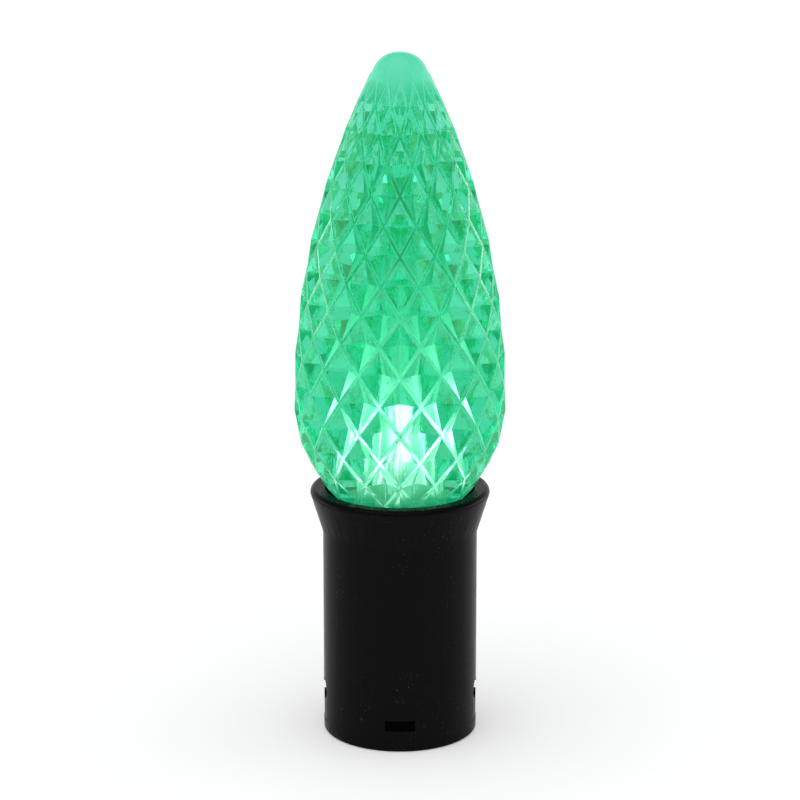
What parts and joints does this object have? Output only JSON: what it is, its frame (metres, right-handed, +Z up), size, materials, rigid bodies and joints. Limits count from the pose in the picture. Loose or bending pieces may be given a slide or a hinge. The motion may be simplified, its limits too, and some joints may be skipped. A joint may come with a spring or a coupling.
{
  "type": "christmas light bulb",
  "caption": "Faceted green screw-in Christmas lamp with light emitters inside, standing in its black clamp-on cable holder.",
  "frame": {"origin": "middle of the holder's flat underside", "axes": "+Z up along the lamp's axis to the tip of the lens, X along the cable channel, -Y to the front"},
  "size_m": [0.0286, 0.0286, 0.0938],
  "materials": {
    "green_lens": "clear green moulded plastic, polished facets",
    "white_plastic": "white moulded plastic",
    "nickel": "drawn and nickel plated",
    "black_insulator": "black moulded insulator",
    "contact_brass": "stamped brass",
    "white_board": "white solder mask",
    "light_emitter": "white package with a lit green window",
    "green_board": "green solder mask on glass fibre",
    "resistor_body": "tan lacquer with plain bands",
    "capacitor_sleeve": "dark shrink sleeve",
    "tinned_wire": "tinned copper",
    "black_plastic": "glossy black moulded plastic"
  },
  "bodies": {
    "holder": {"holder_body": "black_plastic", "cable_cap": "black_plastic", "side_contact": "contact_brass", "centre_contact": "contact_brass"},
    "lamp_foot": {"tip_contact": "contact_brass"},
    "lamp": {"lens": "green_lens", "base_collar": "white_plastic", "screw_shell": "nickel", "base_insulator": "black_insulator", "led_board": "white_board", "led_1": "light_emitter", "led_2": "light_emitter", "led_3": "light_emitter", "driver_board": "green_board", "bridge_rectifier": "black_insulator", "dropping_resistor": "resistor_body", "smoothing_capacitor": "capacitor_sleeve", "link_pin_1": "tinned_wire", "link_pin_2": "tinned_wire", "shell_lead": "tinned_wire", "tip_lead": "tinned_wire"}
  },
  "joints": [
    {"name": "lamp_rise", "type": "slide", "parent": "holder", "child": "lamp_foot", "axis": [0, 0, 1], "range_m": [0, 0.00847]},
    {"name": "lamp_turn", "type": "hinge", "parent": "lamp_foot", "child": "lamp", "pos_m": [0, 0, 0.0129], "axis": [0, 0, 1], "range_deg": [0, 1080]}
  ],
  "couplings": [
    {"joint": "lamp_rise", "follows": "lamp_turn", "m_per_rad": 0.00044916}
  ]
}
